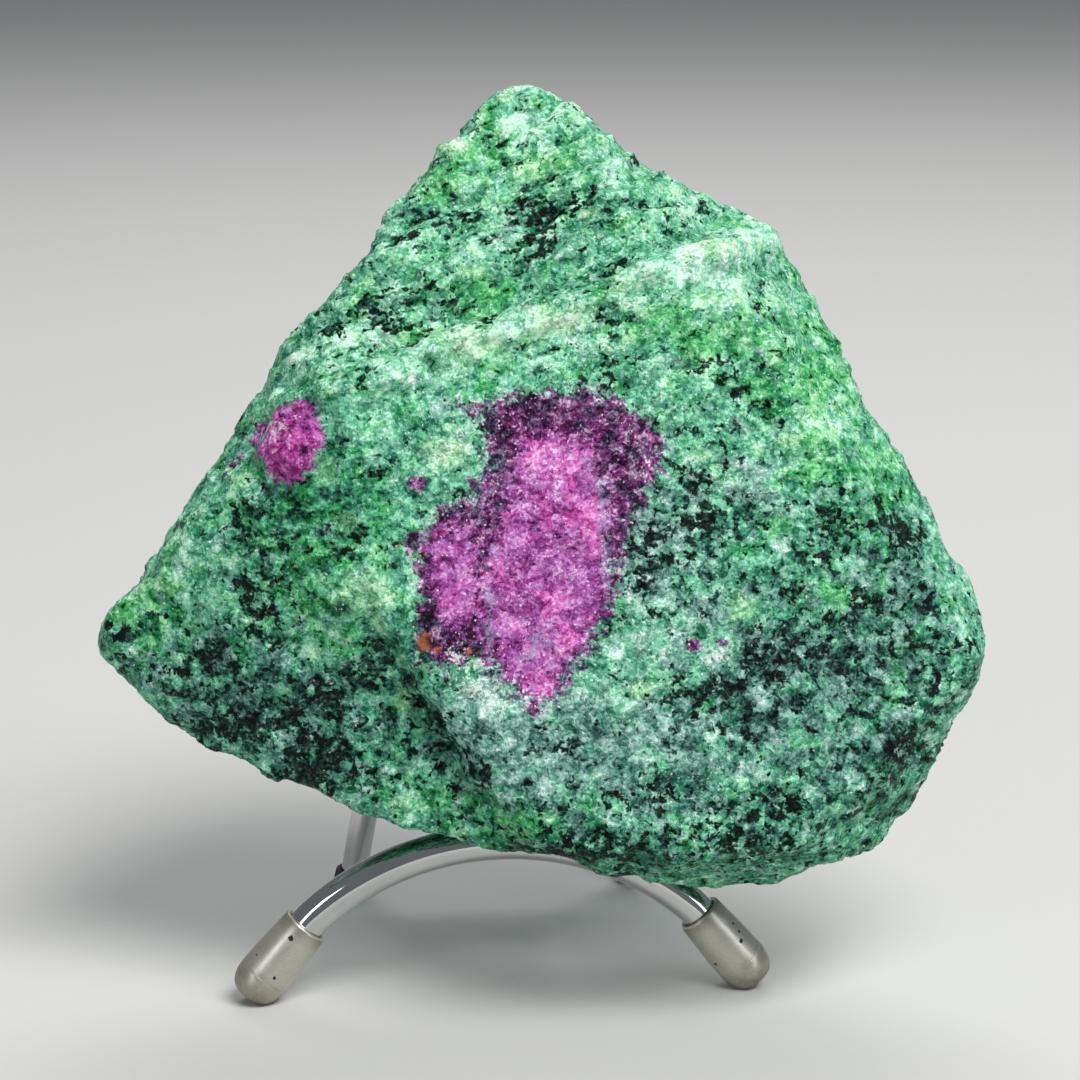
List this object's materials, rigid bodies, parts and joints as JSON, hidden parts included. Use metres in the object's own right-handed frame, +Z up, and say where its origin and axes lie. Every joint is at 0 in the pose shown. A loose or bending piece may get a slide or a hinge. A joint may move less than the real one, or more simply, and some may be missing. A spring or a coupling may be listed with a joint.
{
  "type": "ruby in zoisite specimen on a wire display stand",
  "caption": "Rough triangular lump of green zoisite with magenta ruby, leaning back on a bent chrome wire display stand with capped front feet.",
  "frame": {"origin": "on the floor plane, under the middle of the whole object's box", "axes": "+Z up; +Y goes from the lump's display face through to the rear prop; +X runs along the front arch to the viewer's right"},
  "size_m": [0.1212, 0.0662, 0.1234],
  "materials": {
    "zoisite": "rough broken stone, granular, dull with small bright grain faces; green with black specks and magenta ruby",
    "chrome": "bright polished plating",
    "cap_metal": "satin champagne grey coat with small dark chips",
    "tip_rubber": "matt black"
  },
  "bodies": {
    "root": {"ruby_zoisite_lump": "zoisite", "front_arch": "chrome", "rear_prop": "chrome", "cross_bar": "chrome", "keel_bar": "chrome", "foot_cap_left": "cap_metal", "foot_cap_right": "cap_metal", "prop_tip_left": "tip_rubber", "prop_tip_right": "tip_rubber"}
  },
  "joints": []
}
